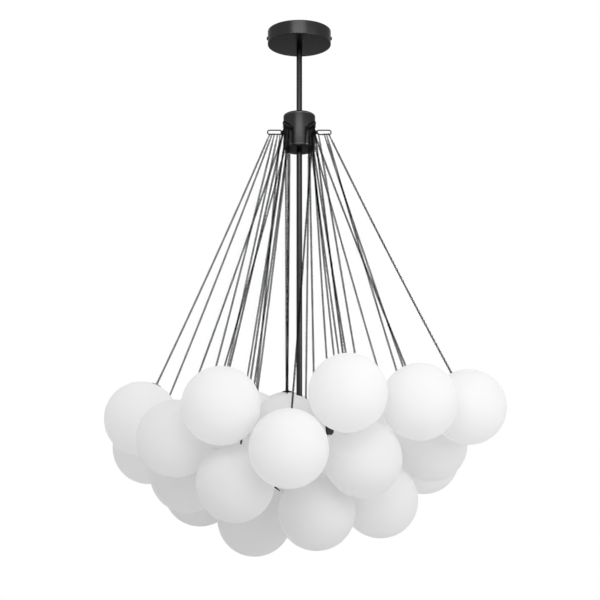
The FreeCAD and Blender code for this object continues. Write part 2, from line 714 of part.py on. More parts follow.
INNER_SHARES = [
    ("inner_1", 2, 2, -1.24, 1.24, 3.80),
    ("inner_2", 4, 0, -0.66, -0.49, 4.26),
    ("inner_3", 3, 0, -0.64, 0.49, 4.05),
    ("inner_4", 2, 0, -0.17, 1.48, 3.85),
    ("inner_5", 2, 1, -0.73, 1.37, 4.64),
    ("inner_6", 1, 2, 0.67, 1.78, 4.49),
    ("inner_7", 1, 0, 0.06, 0.76, 4.75),
]
MIDDLE_SHARES = ("middle", None, None, -0.59, 0.13, 5.36)
ALL_SHARES = RIM_SHARES + NESTED_SHARES + INNER_SHARES + [MIDDLE_SHARES]
SETTLING_STEPS = 600
PULL_SHARE = 0.05


def hanging_point(hook, place):
    """The middle of the wire that a chain's ring hangs on, and the wire's direction there."""
    if hook is None:
        heading = math.atan2(MIDDLE_SHARES[4], MIDDLE_SHARES[3])
        return Vector(0, 0, -size.hanger_level.number), Vector(math.cos(heading), math.sin(heading), 0)
    heading = math.radians(hook_turns()[hook])
    wire = Vector(math.cos(heading), math.sin(heading), 0)
    inner = place < INNER_RINGS
    reach = size.ring_start + size.ring_pitch * place if inner else (
        size.ring_end - size.ring_pitch * (RINGS - 1 - place))
    return wire * reach.number + Vector(0, 0, hook_bar.number), wire


def nudge(spot, step):
    """Moves a point in place."""
    spot.x += step.x
    spot.y += step.y
    spot.z += step.z


def part_pairs(spots):
    """Moves every two globes that are too close apart by half the shortfall each."""
    room = size.globe_diameter.number + size.globe_gap.number
    worst = 0
    for i, first in enumerate(spots):
        for second in spots[:i]:
            between = first - second
            short = room - between.Length
            if short > 0:
                step = between * (short / 2 / between.Length)
                nudge(first, step)
                nudge(second, -step)
                worst = max(worst, short)
    return worst


def posts():
    """The stem, the room round its carrier and the lamps as upright posts: top, foot and radius."""
    top = Vector(0, 0, -size.carrier_level.number)
    foot = Vector(0, 0, -(size.hanger_level + size.holder_height).number)
    found = [(Vector(), top, size.stem_diameter.number / 2), (top, foot, size.cluster_keep_out.number)]
    capsule_foot = holder_top - size.holder_height + size.holder_socket_depth - size.capsule_length
    for turn in lamp_turns():
        place = Rotation(UP, turn) * Vector(size.holder_circle.number / 2, 0, 0)
        ends = [place + Vector(0, 0, level.number) for level in (plate_level, capsule_foot)]
        found.append((*ends, size.holder_diameter.number / 2))
    return found


def clear_the_posts(spots, found):
    """Moves a globe that is too close to a post straight away from it."""
    room = (size.globe_diameter / 2 + size.globe_gap).number
    worst = 0
    for spot in spots:
        for top, foot, thickness in found:
            off = spot - Vector(top.x, top.y, min(max(spot.z, foot.z), top.z))
            short = room + thickness - off.Length
            if short > 0:
                nudge(spot, off * (short / off.Length))
                worst = max(worst, short)
    return worst


def clear_the_chains(spots, points):
    """Moves a globe and the globe whose chain it touches away from each other."""
    room = (size.globe_diameter / 2 + size.chain_diameter / 2 + size.chain_room).number
    worst = 0
    for i, (own, point) in enumerate(zip(spots, points)):
        for j, other in enumerate(spots):
            if i == j:
                continue
            chain = own - point
            along = (other - point).dot(chain) / chain.dot(chain)
            if not 0 < along < 1:
                continue
            off = other - point - chain * along
            short = room - off.Length
            if short > 0:
                step = off * (short / 2 / off.Length)
                nudge(other, step)
                nudge(own, step * -along)
                worst = max(worst, short)
    return worst


def settled(places):
    """Where the globes hang once they lean on each other: near their places, with room all round."""
    pitch = (size.globe_diameter + size.globe_gap).number
    points = [hanging_point(hook, place)[0] for _, hook, place, *_ in places]
    level = -size.hook_level.number
    wanted = [Vector(x * pitch, y * pitch, level - drop * pitch) for *_, x, y, drop in places]
    spots = [Vector(spot) for spot in wanted]
    upright = posts()
    for step in range(SETTLING_STEPS):
        if step < SETTLING_STEPS // 3:
            for spot, goal in zip(spots, wanted):
                nudge(spot, (goal - spot) * PULL_SHARE)
        worst = max(part_pairs(spots), clear_the_posts(spots, upright), clear_the_chains(spots, points))
        if worst < size.thread_gap.number / 2:
            break
    print("globes settled in", step, "steps, largest shortfall left", round(worst, 4))
    return spots


def glass_globe():
    """A hollow sphere with one hole at its top, about the origin."""
    radius = size.globe_diameter / 2
    outside = doc.addObject("Part::Sphere", "glass_outside")
    inside = doc.addObject("Part::Sphere", "glass_inside")
    bind(outside, Radius=radius)
    bind(inside, Radius=radius - size.globe_wall)
    neck = cylinder("glass_neck", size.neck_diameter / 2, radius)
    return cut("glass_globe", outside, [inside, neck])


def globe_cap():
    """The metal cap on a globe about the origin: disc, plug, eye above and spring bar inside the glass."""
    radius = size.globe_diameter.number / 2
    neck = size.neck_diameter.number / 2
    half_bar = size.bar_length.number / 2
    bar_wire = size.bar_wire.number / 2
    eye_wire = size.eye_wire.number / 2
    seat = math.sqrt(radius ** 2 - neck ** 2) + size.thread_gap.number
    foot = seat - size.plug_depth.number
    top = seat + size.globe_cap_sheet.number
    eye = size.eye_diameter.number / 2 - eye_wire
    glass_inside = radius - size.globe_wall.number
    bar_level = math.sqrt(glass_inside ** 2 - half_bar ** 2) - bar_wire - size.bar_gap.number
    disc = Part.makeCylinder(size.globe_cap_diameter.number / 2, top - seat, Vector(0, 0, seat))
    others = [
        Part.makeCylinder(neck - size.neck_gap.number, seat - foot, Vector(0, 0, foot)),
        Part.makeCylinder(bar_wire * 2, foot - bar_level, Vector(0, 0, bar_level)),
        Part.makeCylinder(bar_wire, half_bar * 2, Vector(0, -half_bar, bar_level), Vector(0, 1, 0)),
        Part.makeTorus(eye, eye_wire, Vector(0, 0, top + eye), Vector(1, 0, 0)),
    ]
    return disc.multiFuse(others), top + eye * 2 + eye_wire


def ring_and_chain(length, eye_top):
    """A ring on the hook's wire at the origin and the chain below it, straight down its own axis."""
    wire = size.ring_wire.number / 2
    across = size.ring_diameter.number / 2
    hang = size.ring_hang.number
    gap = size.chain_gap.number
    foot = -(length - eye_top - gap)
    top = -(hang + across + gap)
    ring = Part.makeTorus(across - wire, wire, Vector(0, 0, -hang), Vector(1, 0, 0))
    chain = Part.makeCylinder(size.chain_diameter.number / 2, top - foot, Vector(0, 0, foot))
    return [ring, chain]


def chain_frame(point, wire, middle):
    """The turn that takes +Z up the chain and +X as near as it can along the hook's wire."""
    up = (point - middle).normalize()
    along = (wire - up * wire.dot(up)).normalize()
    return Rotation(along, up.cross(along), up, "ZXY")


def hang_globes():
    """All globes with their chains. A rim globe swings, so its ring, chain and cap have a node."""
    glass = glass_globe()
    doc.recompute()
    cap, eye_top = globe_cap()
    hangings = {}
    inner_glass, inner_chains, inner_caps = [], [], []
    for (name, hook, place, *_), middle in zip(ALL_SHARES, settled(ALL_SHARES)):
        point, wire = hanging_point(hook, place)
        turn = chain_frame(point, wire, middle)
        hangings[name] = (point, middle)
        here, there = Placement(point, turn), Placement(middle, turn)
        links = ring_and_chain((point - middle).Length, eye_top)
        on_globe = cap.copy()
        globe = glass.Shape.copy()
        if name.startswith("rim"):
            on_globe.Placement = Placement(Vector(0, 0, -(point - middle).Length), Rotation())
            solid_node(name.replace("rim", "rim_hanger"), Part.makeCompound(links + [on_globe]), here)
        else:
            for link in links:
                link.Placement = here * link.Placement
            on_globe.Placement = there
            inner_chains += links
            inner_caps.append(on_globe)
        if name.startswith("inner"):
            globe.Placement = there
            inner_glass.append(globe)
        else:
            solid_node(name.replace("_", "_globe_") if "_" in name else name + "_globe", globe, there)
    solid_node("inner_globes", Part.makeCompound(inner_glass))
    solid_node("inner_chains", Part.makeCompound(inner_chains))
    solid_node("inner_caps", Part.makeCompound(inner_caps))
    return hangings


for make in (ceiling_bracket, nipple_and_nuts, canopy_cup, screws, terminal_block, supply_cable, stem_tube,
             drum, drum_clamp, hooks, lamp_carrier, lamps, centre_hanger):
    make()
HANGINGS = hang_globes()

doc.recompute()
for thing in doc.Objects:
    if "Invalid" in thing.State or "Error" in thing.State:
        raise RuntimeError("not built: " + thing.Label)
for name, thing in NODES.items():
    if thing.Shape.isNull() or not thing.Shape.isValid():
        raise RuntimeError("bad shape: " + name)
    thing.Shape.exportStep(os.path.join("parts", name + ".step"))
    print("%-18s solids %2d  volume %.1f" % (name, len(thing.Shape.Solids), thing.Shape.Volume))
print("nodes", len(NODES))
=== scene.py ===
import json
import math

import bmesh
import bpy
import numpy as np
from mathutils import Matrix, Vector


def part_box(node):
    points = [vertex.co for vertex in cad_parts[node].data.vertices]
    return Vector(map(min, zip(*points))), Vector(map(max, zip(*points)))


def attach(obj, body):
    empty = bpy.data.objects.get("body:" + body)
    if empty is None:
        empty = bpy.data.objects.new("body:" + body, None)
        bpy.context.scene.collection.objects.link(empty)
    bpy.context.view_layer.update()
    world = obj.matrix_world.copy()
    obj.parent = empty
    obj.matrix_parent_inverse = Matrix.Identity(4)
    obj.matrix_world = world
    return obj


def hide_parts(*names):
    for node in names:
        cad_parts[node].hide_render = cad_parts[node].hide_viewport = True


bl_info = {
    "name": "Globe chandelier",
    "version": (1, 0, 0),
    "blender": (4, 5, 0),
    "location": "3D View > Sidebar > Chandelier",
    "description": "Glass globes, chains and black metalwork around a chandelier's solid frame",
    "category": "Add Mesh",
}

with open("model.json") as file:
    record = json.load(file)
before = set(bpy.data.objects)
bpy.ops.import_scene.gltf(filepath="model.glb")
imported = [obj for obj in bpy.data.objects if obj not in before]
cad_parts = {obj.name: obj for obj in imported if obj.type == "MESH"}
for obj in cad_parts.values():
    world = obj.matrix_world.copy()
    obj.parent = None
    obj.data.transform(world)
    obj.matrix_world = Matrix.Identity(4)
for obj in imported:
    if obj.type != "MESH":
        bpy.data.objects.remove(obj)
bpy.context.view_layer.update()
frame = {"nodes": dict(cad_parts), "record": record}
TURN = 2 * math.pi
UP = np.array([0.0, 0.0, 1.0])

# Side of the picture in pixels, and width of the camera's sensor in millimetres
IMAGE_SIZE = 600
SENSOR_WIDTH = 36

# Clearance of a push fit, and the angle past which an edge stays sharp
PLAY = 0.00005
CREASE = math.radians(40)

# How far the camera sees, and the radii of the floor and of a ring inside it
VIEW_DEPTH = 50
FLOOR_RADII = (45, 4, 0)

# Name, place, width, height and watts of each soft lamp, and the point that they face
LAMPS = (
    ("front_lamp", (-0.1, -3.4, 1.0), 3.0, 0.8, 44.0),
    ("key_lamp", (2.7, -2.8, -0.35), 2.4, 2.4, 49.0),
)
LAMP_AIM = np.array([0, 0, -0.75])


# Sizes and colours that a user would change

class GlassSettings(bpy.types.PropertyGroup):
    """The globes."""
    wall: bpy.props.FloatProperty(
        name="Wall", description="Thickness of the glass", default=0.002, unit="LENGTH")
    neck: bpy.props.FloatProperty(
        name="Neck", description="Radius of the hole under the cap", default=0.009, unit="LENGTH")
    colour: bpy.props.FloatVectorProperty(
        name="Glass", description="White of the frosted glass", default=(0.97, 0.97, 0.97),
        subtype="COLOR")
    shade: bpy.props.FloatVectorProperty(
        name="Thin glass", description="White where the glass is thinner",
        default=(0.95, 0.95, 0.95), subtype="COLOR")
    frost: bpy.props.FloatProperty(
        name="Frost", description="Roughness of the etched surface", default=0.75, subtype="FACTOR")
    glow: bpy.props.FloatProperty(
        name="Glow", description="Share of the light that passes through the glass", default=0.75,
        subtype="FACTOR")
    columns: bpy.props.IntProperty(name="Columns", description="Faces round a globe", default=72)
    rows: bpy.props.IntProperty(name="Rows", description="Faces from pole to neck", default=44)


class ChainSettings(bpy.types.PropertyGroup):
    """Rings, chains and globe caps."""
    wire: bpy.props.FloatProperty(
        name="Link wire", description="Diameter of a link's wire", default=0.0016, unit="LENGTH")
    width: bpy.props.FloatProperty(
        name="Link width", description="A link from side to side", default=0.005, unit="LENGTH")
    pitch: bpy.props.FloatProperty(
        name="Pitch", description="From one link to the next", default=0.004, unit="LENGTH")
    first: bpy.props.FloatProperty(
        name="First link", description="Its size, as a share of the others", default=0.68,
        subtype="FACTOR")
    growth: bpy.props.FloatProperty(
        name="Growth", description="By how much each of the first links is larger than the last",
        default=0.08, subtype="FACTOR")
    twist: bpy.props.FloatProperty(
        name="Twist", description="Length of chain that twists by half a turn", default=0.1,
        unit="LENGTH")
    sway: bpy.props.FloatProperty(
        name="Sway", description="How far the links turn to and fro besides", default=TURN / 6,
        subtype="ANGLE")
    sag: bpy.props.FloatProperty(
        name="Sag", description="Sag of a level chain, as a share of its length", default=0.012)
    ring_wire: bpy.props.FloatProperty(
        name="Ring wire", description="Diameter of the wire of a ring", default=0.0012,
        unit="LENGTH")
    eye: bpy.props.FloatProperty(
        name="Eye", description="Radius of the cap's eye, to its wire", default=0.0026,
        unit="LENGTH")
    eye_wire: bpy.props.FloatProperty(
        name="Eye wire", description="Diameter of the eye's wire", default=0.0014, unit="LENGTH")
    cap: bpy.props.FloatProperty(
        name="Cap", description="Radius of a globe's cap", default=0.011, unit="LENGTH")
    cap_sheet: bpy.props.FloatProperty(
        name="Cap sheet", description="Thickness of a cap", default=0.0012, unit="LENGTH")
    plug: bpy.props.FloatProperty(
        name="Plug", description="How deep a cap reaches into the neck", default=0.003,
        unit="LENGTH")
    bar: bpy.props.FloatProperty(
        name="Spring bar", description="Length of the bar inside the glass", default=0.03,
        unit="LENGTH")
    bar_wire: bpy.props.FloatProperty(
        name="Spring bar wire", description="Its diameter", default=0.002, unit="LENGTH")


class TurnedSettings(bpy.types.PropertyGroup):
    """Canopy, stem, drum and hooks."""
    canopy_wall: bpy.props.FloatProperty(
        name="Canopy wall", description="Sheet of the cup", default=0.0015, unit="LENGTH")
    canopy_edge: bpy.props.FloatProperty(
        name="Canopy edge", description="Rounding of its lower edge", default=0.002,
        unit="LENGTH")
    stem_wall: bpy.props.FloatProperty(
        name="Stem wall", description="Wall of the tube", default=0.00095, unit="LENGTH")
    drum_wall: bpy.props.FloatProperty(
        name="Drum wall", description="Wall of the drum", default=0.0025, unit="LENGTH")
    dome: bpy.props.FloatProperty(
        name="Dome", description="Width of the curve at the drum's ends", default=0.012,
        unit="LENGTH")
    spigot: bpy.props.FloatProperty(
        name="Spigot", description="How deep an end sits in the drum", default=0.004,
        unit="LENGTH")
    edge: bpy.props.FloatProperty(
        name="Edge", description="Rounding of the turned edges", default=0.0003, unit="LENGTH")
    neck: bpy.props.FloatProperty(
        name="Hook neck", description="Its radius at the drum, as a share of the hook's height",
        default=0.36, subtype="FACTOR")


class MetalSettings(bpy.types.PropertyGroup):
    """Painted and plated metal."""
    black: bpy.props.FloatVectorProperty(
        name="Black", description="Blackened metal", default=(0.027, 0.027, 0.027),
        subtype="COLOR")
    black_worn: bpy.props.FloatVectorProperty(
        name="Black, lighter", description="Where the black is thinner",
        default=(0.037, 0.037, 0.037), subtype="COLOR")
    # Painted highlight: the lighter colour painted in thin bands at the drum's top and bottom edges
    edge_highlight_colour: bpy.props.FloatVectorProperty(
        name="Rubbed", description="Corners of the drum", default=(0.2, 0.2, 0.2),
        subtype="COLOR")
    gloss: bpy.props.FloatProperty(
        name="Roughness", description="Roughness of the black metal", default=0.28,
        subtype="FACTOR")
    chain_black: bpy.props.FloatVectorProperty(
        name="Chain", description="Blackened chain and hooks", default=(0.006, 0.006, 0.006),
        subtype="COLOR")
    chain_worn: bpy.props.FloatVectorProperty(
        name="Chain, lighter", description="Where links have rubbed",
        default=(0.02, 0.02, 0.02), subtype="COLOR")
    zinc: bpy.props.FloatVectorProperty(
        name="Zinc", description="Plated bracket and screws", default=(0.62, 0.62, 0.60),
        subtype="COLOR")
    brass: bpy.props.FloatVectorProperty(
        name="Brass", description="Threaded tube", default=(0.72, 0.56, 0.28), subtype="COLOR")


class FittingSettings(bpy.types.PropertyGroup):
    """Terminal block, cable, lampholders and lamps."""
    terminal: bpy.props.FloatVectorProperty(
        name="Terminal block", description="Pale plastic", default=(0.84, 0.83, 0.78),
        subtype="COLOR")
    sheath: bpy.props.FloatVectorProperty(
        name="Cable", description="Grey sheath", default=(0.72, 0.72, 0.70), subtype="COLOR")
    holder: bpy.props.FloatVectorProperty(
        name="Lampholder", description="Black plastic", default=(0.006, 0.006, 0.006),
        subtype="COLOR")
    lamp: bpy.props.FloatVectorProperty(
        name="Lamp", description="Satin glass", default=(0.95, 0.95, 0.92), subtype="COLOR")
    lamp_shade: bpy.props.FloatVectorProperty(
        name="Lamp, darker", description="Where that glass is thinner",
        default=(0.86, 0.86, 0.83), subtype="COLOR")


class StageSettings(bpy.types.PropertyGroup):
    """Camera, lamps and floor."""
    focal_pixels: bpy.props.FloatProperty(
        name="Focal length", description="In pixels of the picture", default=2200)
    pitch: bpy.props.FloatProperty(
        name="Pitch", description="How far the camera looks up", default=math.radians(15),
        subtype="ANGLE")
    distance: bpy.props.FloatProperty(
        name="Distance", description="Camera to the point it looks at", default=4.52, unit="LENGTH")
    aim: bpy.props.FloatProperty(
        name="Aim", description="Height of that point on the stem's axis", default=-0.59,
        unit="LENGTH")
    axis_pixel: bpy.props.FloatProperty(
        name="Axis", description="Pixel column of the stem's axis", default=299.3)
    floor: bpy.props.FloatProperty(
        name="Floor", description="Height of the floor", default=-2.4, unit="LENGTH")
    floor_white: bpy.props.FloatProperty(
        name="Floor white", description="White that the camera sees on the floor besides its light",
        default=0.34)
    floor_colour: bpy.props.FloatVectorProperty(
        name="Floor", description="Pale floor", default=(0.91, 0.91, 0.91), subtype="COLOR")
    ambient: bpy.props.FloatProperty(
        name="Ambient", description="Light from all round", default=0.62)


# Reading the frame

def corners(name):
    """A node's corner points as an array, and the pairs of them that an edge joins."""
    mesh = frame["nodes"][name].data
    points = np.empty(len(mesh.vertices) * 3)
    mesh.vertices.foreach_get("co", points)
    edges = np.empty(len(mesh.edges) * 2, dtype=np.int32)
    mesh.edges.foreach_get("vertices", edges)
    return points.reshape(-1, 3), edges.reshape(-1, 2)


def loose_parts(name):
    """The separate solids of a node, each as an array of its points.

    Points at one place are one point. Each takes its own number as its label, and then the lowest
    label among those that an edge joins to it, until no label changes.
    """
    points, edges = corners(name)
    points, place = np.unique(np.round(points, 6), axis=0, return_inverse=True)
    pairs = place.ravel()[edges]
    label = np.arange(len(points))
    changed = True
    while changed:
        lowest = label[pairs].min(axis=1)
        fresh = label.copy()
        np.minimum.at(fresh, pairs[:, 0], lowest)
        np.minimum.at(fresh, pairs[:, 1], lowest)
        fresh = fresh[fresh]
        changed = not np.array_equal(fresh, label)
        label = fresh
    return [points[label == value] for value in np.unique(label)]


def spread(points):
    """A part's middle, its three main directions, longest first, and its length along each."""
    middle = points.mean(axis=0)
    directions = np.linalg.svd(points - middle, full_matrices=False)[2]
    along = (points - middle) @ directions.T
    return middle, directions, np.ptp(along, axis=0)


def globe_middle(points):
    """A globe's middle, half way across and one radius above its lowest point, and its radius."""
    low, high = points.min(axis=0), points.max(axis=0)
    radius = (high[0] - low[0]) / 2
    return np.array([(low[0] + high[0]) / 2, (low[1] + high[1]) / 2, low[2] + radius]), radius


def ends(chain):
    """The upper and the lower end of a chain's solid."""
    middle, directions, lengths = spread(chain)
    half = directions[0] * np.sign(directions[0][2]) * lengths[0] / 2
    return middle + half, middle - half


def unit(vector):
    """A vector's direction, one metre long."""
    return vector / np.linalg.norm(vector)


class Hanger:
    """Ring, chain and globe that hang together, with the directions that their pieces share.

    up runs from the globe's middle along the chain, along is the ring's axis made square to up, and
    side is square to both.
    """

    def __init__(self, body, ring, chain, globes):
        self.body = body
        self.ring, ring_directions, _ = spread(ring)
        top, foot = ends(chain)
        axis = unit(top - foot)
        below = [globe for globe in globes if (globe - foot) @ axis < 0]
        self.globe = min(below, key=lambda globe: np.linalg.norm(np.cross(globe - foot, axis)))
        self.up = unit(self.ring - self.globe)
        ring_axis = ring_directions[2]
        self.along = unit(ring_axis - self.up * (ring_axis @ self.up))
        self.side = np.cross(self.up, self.along)


def sort_parts(parts):
    """Rings and chains among the parts of a node.

    A chain is over 4 times as long as wide. A ring is under 10 mm across and flat: its thickness is
    under 0.3 of that.
    """
    rings, chains = [], []
    for part in parts:
        lengths = spread(part)[2]
        if lengths[0] > 4 * lengths[1]:
            chains.append(part)
        elif lengths[2] < 0.3 * lengths[0] and lengths[0] < 0.01:
            rings.append(part)
    return rings, chains


def find_hangers(nodes, body, globes):
    """The hangers of some nodes: each chain goes with the ring nearest to its upper end."""
    rings, chains = sort_parts([part for node in nodes for part in loose_parts(node)])
    found = []
    for chain in chains:
        top, _ = ends(chain)
        ring = min(rings, key=lambda part: np.linalg.norm(part.mean(axis=0) - top))
        found.append(Hanger(body, ring, chain, globes))
    return found


# Surfaces

def quads(rows, columns, wrap_rows, wrap_columns):
    """Corner numbers of the faces of a grid of points, which may close on itself either way."""
    row = np.arange(rows if wrap_rows else rows - 1)[:, None]
    column = np.arange(columns if wrap_columns else columns - 1)[None, :]
    next_row, next_column = (row + 1) % rows, (column + 1) % columns
    faces = [row * columns + column, row * columns + next_column,
             next_row * columns + next_column, next_row * columns + column]
    return np.stack(np.broadcast_arrays(*faces), axis=-1).reshape(-1, 4)


class Shape:
    """Points and faces that surfaces are added to, and that become one piece."""

    def __init__(self):
        self.points = []
        self.faces = []
        self.count = 0

    def add(self, points, wrap_rows=False, wrap_columns=False):
        """Adds a grid of points, rows by columns, or a stack of such grids."""
        stack = points.reshape((-1,) + points.shape[-3:])
        copies, rows, columns = stack.shape[:3]
        pattern = quads(rows, columns, wrap_rows, wrap_columns)
        starts = self.count + np.arange(copies)[:, None, None] * rows * columns
        self.faces.append((pattern[None] + starts).reshape(-1, 4))
        self.points.append(stack.reshape(-1, 3))
        self.count += copies * rows * columns
        return self

    def piece(self, name, finish, body, slot, replaced):
        """Makes the piece: poles and seams are merged, and its faces point outwards."""
        mesh = bpy.data.meshes.new(name)
        mesh.from_pydata(np.concatenate(self.points), [], np.concatenate(self.faces))
        shell = bmesh.new()
        shell.from_mesh(mesh)
        bmesh.ops.remove_doubles(shell, verts=shell.verts, dist=1e-7)
        bmesh.ops.dissolve_degenerate(shell, edges=shell.edges, dist=1e-8)
        bmesh.ops.recalc_face_normals(shell, faces=shell.faces)
        shell.to_mesh(mesh)
        shell.free()
        mesh.shade_smooth()
        mesh.set_sharp_from_angle(angle=CREASE)
        thing = bpy.data.objects.new(name, mesh)
        bpy.context.scene.collection.objects.link(thing)
        thing.data.materials.append(material(finish))
        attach(thing, body)
        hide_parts(*replaced)


def lathe(profile, columns, middle=(0, 0, 0), up=UP, along=(1, 0, 0)):
    """A profile of radius and height turned round an axis.

    The point of profile row i at angle a is middle + radius (cos a along + sin a side) + height up.
    """
    middle, up, along = np.asarray(middle), np.asarray(up), np.asarray(along)
    radius, height = np.asarray(profile, float).T[..., None, None]
    angle = np.arange(columns) / columns * TURN
    out = np.cos(angle)[:, None] * along + np.sin(angle)[:, None] * np.cross(up, along)
    return middle + radius * out + height * up


def arc(middle, radius, start, end, steps):
    """Profile points on a circle from one angle to another, in degrees from the outward level."""
    angle = np.radians(np.linspace(start, end, steps))
    return np.asarray(middle) + radius * np.stack([np.cos(angle), np.sin(angle)], axis=-1)


def circle(radius, steps):
    """A closed path round a circle, as x and y."""
    return arc((0, 0), radius, 0, 360 - 360 / steps, steps)


def wire_loop(path, normal, radius, sides):
    """A round wire along a closed flat path, or along each of a stack of them.

    At each point of the path the section is a circle of the directions tangent x normal and
    -normal. The tangent is the difference of the two neighbours. The radius may be one for each
    path.
    """
    path = np.asarray(path, float)
    normal = np.broadcast_to(normal, path.shape)
    tangent = np.roll(path, -1, axis=-2) - np.roll(path, 1, axis=-2)
    tangent /= np.linalg.norm(tangent, axis=-1, keepdims=True)
    outward = np.cross(tangent, normal)
    angle = np.arange(sides) / sides * TURN
    cosine, sine = np.cos(angle)[:, None], np.sin(angle)[:, None]
    radius = np.reshape(radius, np.shape(radius) + (1, 1, 1))
    section = outward[..., None, :] * cosine - normal[..., None, :] * sine
    return path[..., None, :] + radius * section


def stadium(half_length, radius, steps):
    """A closed path of two half circles and the straight lines between them, as x and y.

    A point of the right half circle is x = half_length - radius + radius cos a, y = radius sin a.
    The two sizes may be arrays, and then there is a path for each of their values.
    """
    half_length, radius = np.asarray(half_length)[..., None], np.asarray(radius)[..., None]
    angle = np.radians(np.linspace(-90, 90, steps))
    x, y = half_length - radius + radius * np.cos(angle), radius * np.sin(angle)
    right = np.stack([x, y], axis=-1)
    return np.concatenate([right, -right], axis=-2)


def in_plane(path, middle, first, second):
    """Flat path points set into space: middle + x first + y second."""
    return middle + path[..., 0, None] * first + path[..., 1, None] * second


# Materials

class Socket:
    """A value in a node tree. Python's arithmetic on it adds Math nodes."""

    def __init__(self, shader, output):
        self.shader = shader
        self.output = output

    def __add__(self, other):
        return self.shader.math("ADD", self, other)

    def __mul__(self, other):
        return self.shader.math("MULTIPLY", self, other)

    def __sub__(self, other):
        return self.shader.math("SUBTRACT", self, other)

    def __rsub__(self, other):
        return self.shader.math("SUBTRACT", other, self)

    __radd__ = __add__
    __rmul__ = __mul__


class Shader:
    """The node tree of a material or of the world."""

    def __init__(self, owner):
        owner.use_nodes = True
        self.tree = owner.node_tree
        self.tree.nodes.clear()

    def node(self, kind, settings, inputs, output=0):
        """Adds a node: its settings first, then the value or the link of each socket."""
        made = self.tree.nodes.new(kind)
        for name, value in settings.items():
            setattr(made, name, value)
        for key, value in inputs.items():
            if isinstance(value, Socket):
                self.tree.links.new(value.output, made.inputs[key])
            else:
                made.inputs[key].default_value = value
        return Socket(self, made.outputs[output]) if output is not None else None

    def math(self, operation, first, second):
        """Adds a Math node on two values."""
        return self.node("ShaderNodeMath", {"operation": operation}, {0: first, 1: second})


class Finish(Shader):
    """A material built from nodes."""

    def __init__(self, name):
        self.material = bpy.data.materials.new(name)
        super().__init__(self.material)
        self.place = self.node("ShaderNodeTexCoord", {}, {}, "Object")

    def noise(self, scale, detail=2.0, stretch=(1, 1, 1)):
        """Noise of so many cells a metre, stretched along the axes."""
        place = self.node("ShaderNodeMapping", {}, {"Vector": self.place, "Scale": stretch})
        return self.node(
            "ShaderNodeTexNoise", {}, {"Vector": place, "Scale": scale, "Detail": detail})

    def mix(self, share, first, second):
        """A colour between two, by share."""
        first, second = (end if isinstance(end, Socket) else (*end, 1) for end in (first, second))
        return self.node("ShaderNodeMix", {"data_type": "RGBA"}, {0: share, 6: first, 7: second}, 2)

    def bump(self, height, depth, strength=1.0):
        """A surface that height raises by up to depth metres."""
        return self.node(
            "ShaderNodeBump", {}, {"Strength": strength, "Distance": depth, "Height": height})

    def principled(self, **inputs):
        """A principled shader. Underscores stand for the spaces in a socket's name."""
        named = {name.replace("_", " "): value for name, value in inputs.items()}
        return self.node("ShaderNodeBsdfPrincipled", {}, named)

    def end(self, shader):
        """Ends the material with a shader."""
        self.node("ShaderNodeOutputMaterial", {}, {"Surface": shader}, None)
        return self.material

    def surface(self, **inputs):
        """Ends the material with a principled shader."""
        return self.end(self.principled(**inputs))


def opal_glass(glass):
    """Frosted white glass: a very fine etched grain, and slow changes in how dense the white is."""
    finish = Finish("frosted_white")
    clouds = finish.noise(7, 1)
    grain = finish.noise(2400, 2)
    waves = finish.noise(38, 1)
    white = finish.mix(clouds, glass.shade, glass.colour)
    skin = finish.principled(
        Base_Color=white, Roughness=glass.frost + 0.06 * (grain - 0.5), Specular_IOR_Level=0.12,
        Normal=finish.bump(waves * 0.8 + grain * 0.04, 0.0004, 0.35))
    inside = finish.node("ShaderNodeBsdfTranslucent", {}, {"Color": (*glass.colour, 1)})
    return finish.end(finish.node("ShaderNodeMixShader", {}, {0: glass.glow, 1: skin, 2: inside}))


def blackened(name, light, dark, roughness, grain_depth, edge, worn=(), edge_highlight_colour=None):
    """Blackened metal: a fine orange peel, and slow changes in tone and gloss.

    edge is how much its edges reflect, and worn lists the heights at which its corners get
    edge_highlight_colour, a painted highlight: at a distance d from one, its share is 1 - d /
    reach.
    """
    reach = 0.0009
    finish = Finish(name)
    grain = finish.noise(1500, 3)
    clouds = finish.noise(26, 2)
    colour = finish.mix(clouds * 0.7 + grain * 0.3, dark, light)
    # Painted highlight: thin bands of lighter colour at the given heights stand in for highlight
    # lines on edges
    if worn:
        height = finish.node("ShaderNodeSeparateXYZ", {}, {"Vector": finish.place}, "Z")
        gaps = [finish.math("ABSOLUTE", height - level, 0) for level in worn]
        edge_highlight = sum(finish.math("MAXIMUM", 1 - gap * (1 / reach), 0) for gap in gaps)
        colour = finish.mix(edge_highlight, colour, edge_highlight_colour)
    return finish.surface(
        Base_Color=colour,
        Roughness=roughness + 0.08 * (clouds - 0.5) + 0.1 * (grain - 0.5),
        Metallic=1.0, Specular_Tint=(edge, edge, edge, 1),
        Normal=finish.bump(grain, grain_depth, 0.5))


def plated(name, colour, roughness):
    """Plated or turned metal: fine lines from rolling, and cloudy spots."""
    finish = Finish(name)
    lines = finish.noise(900, 2, (0.05, 1, 1))
    spots = finish.noise(260, 3)
    darker = tuple(share * 0.72 for share in colour)
    return finish.surface(
        Base_Color=finish.mix(spots, darker, colour), Metallic=1.0,
        Roughness=roughness + 0.18 * (lines - 0.5), Normal=finish.bump(lines, 0.0001, 0.4))


def moulded(name, colour, roughness, grain_scale=700):
    """Moulded plastic: an even colour with a faint grain."""
    finish = Finish(name)
    grain = finish.noise(grain_scale, 3)
    darker = tuple(share * 0.92 for share in colour)
    return finish.surface(
        Base_Color=finish.mix(grain, darker, colour), Roughness=roughness + 0.1 * (grain - 0.5),
        Normal=finish.bump(grain, 0.00008, 0.5))


